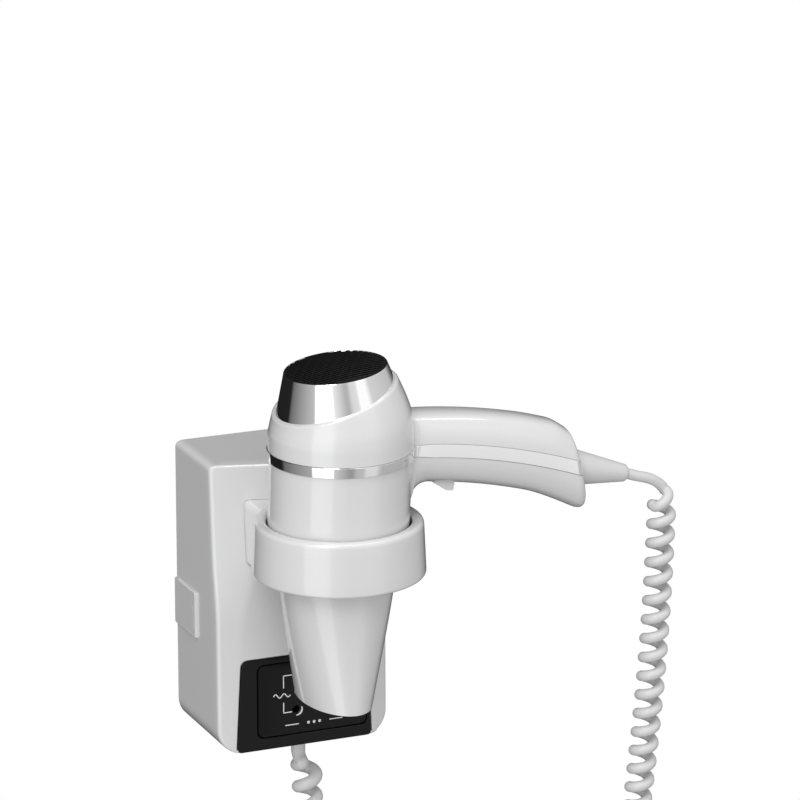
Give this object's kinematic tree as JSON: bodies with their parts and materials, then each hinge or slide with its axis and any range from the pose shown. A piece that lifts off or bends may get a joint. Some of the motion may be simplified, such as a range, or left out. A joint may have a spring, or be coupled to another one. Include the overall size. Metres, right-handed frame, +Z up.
{
  "type": "wall-mounted hair dryer",
  "caption": "Wall-mounted hair dryer: a handset with a curved handle hangs nozzle down in a holder ring on a slim wall unit with a shaver socket, joined by a curly cord.",
  "frame": {"origin": "centre of the wall unit's back face, where it meets the wall", "axes": "+Z up, +Y into the wall, +X along the handset's handle; the unit's front faces -Y"},
  "size_m": [0.2515, 0.1612, 0.411],
  "materials": {
    "white_shell": "glossy moulded ABS",
    "black_plastic": "fine satin moulding",
    "polished_trim": "polished metallised plastic",
    "steel": "zinc plated",
    "brass": "drawn",
    "copper": "taped enamelled wire",
    "mica": "pressed mica",
    "grey_plastic": "satin moulding",
    "board": "solder-masked laminate",
    "cord_grey": "smooth soft PVC"
  },
  "bodies": {
    "wall_unit": {"wall_plate": "white_shell", "wall_housing": "white_shell", "housing_screw": "steel", "socket_panel": "black_plastic", "socket_insert": "black_plastic", "socket_contacts": "brass", "socket_bracket": "grey_plastic", "transformer_core": "steel", "transformer_winding": "copper", "terminal_block": "black_plastic", "terminal_screws": "steel", "wall_gland": "cord_grey", "holder_ring": "white_shell", "ring_screws": "steel", "cord_coil_handset": "cord_grey", "cord_coil_wall": "cord_grey", "cord_wall_lead": "cord_grey"},
    "handset": {"rear_shell": "white_shell", "front_shell": "white_shell", "trim_band": "polished_trim", "handle_trim_front": "polished_trim", "handle_trim_back": "polished_trim", "handle_strain_relief": "cord_grey", "inlet_collar": "polished_trim", "inlet_grille": "black_plastic", "filter_screen": "steel", "outlet_grille": "black_plastic", "motor": "steel", "fan_shroud": "grey_plastic", "heater_frame": "mica", "heating_coils": "steel", "heater_sleeve": "mica", "thermostat": "steel", "trigger_spring": "steel", "microswitch": "black_plastic", "control_board": "board", "cable_clamp": "grey_plastic", "clamp_screws": "steel", "shell_screws": "steel", "inner_wires": "cord_grey", "cord_handset_lead": "cord_grey"},
    "nozzle": {"concentrator_nozzle": "white_shell"},
    "fan": {"fan_impeller": "grey_plastic", "motor_shaft": "steel"},
    "trigger": {"trigger": "grey_plastic"}
  },
  "joints": [
    {"name": "handset_lift", "type": "slide", "parent": "wall_unit", "child": "handset", "axis": [0, 0, 1], "range_m": [0, 0.17]},
    {"name": "nozzle_turn", "type": "hinge", "parent": "handset", "child": "nozzle", "pos_m": [-0.0014, -0.1143, 0.03002], "axis": [0.0349, 0, 0.9994], "continuous": true},
    {"name": "fan_spin", "type": "hinge", "parent": "handset", "child": "fan", "pos_m": [0.00105, -0.1143, 0.09998], "axis": [0.0349, 0, 0.9994], "continuous": true},
    {"name": "trigger_press", "type": "slide", "parent": "handset", "child": "trigger", "axis": [0.1451, 0, 0.9894], "range_m": [0, 0.0025], "stiffness_N_per_m": 400, "deforming": ["trigger_spring"]}
  ]
}
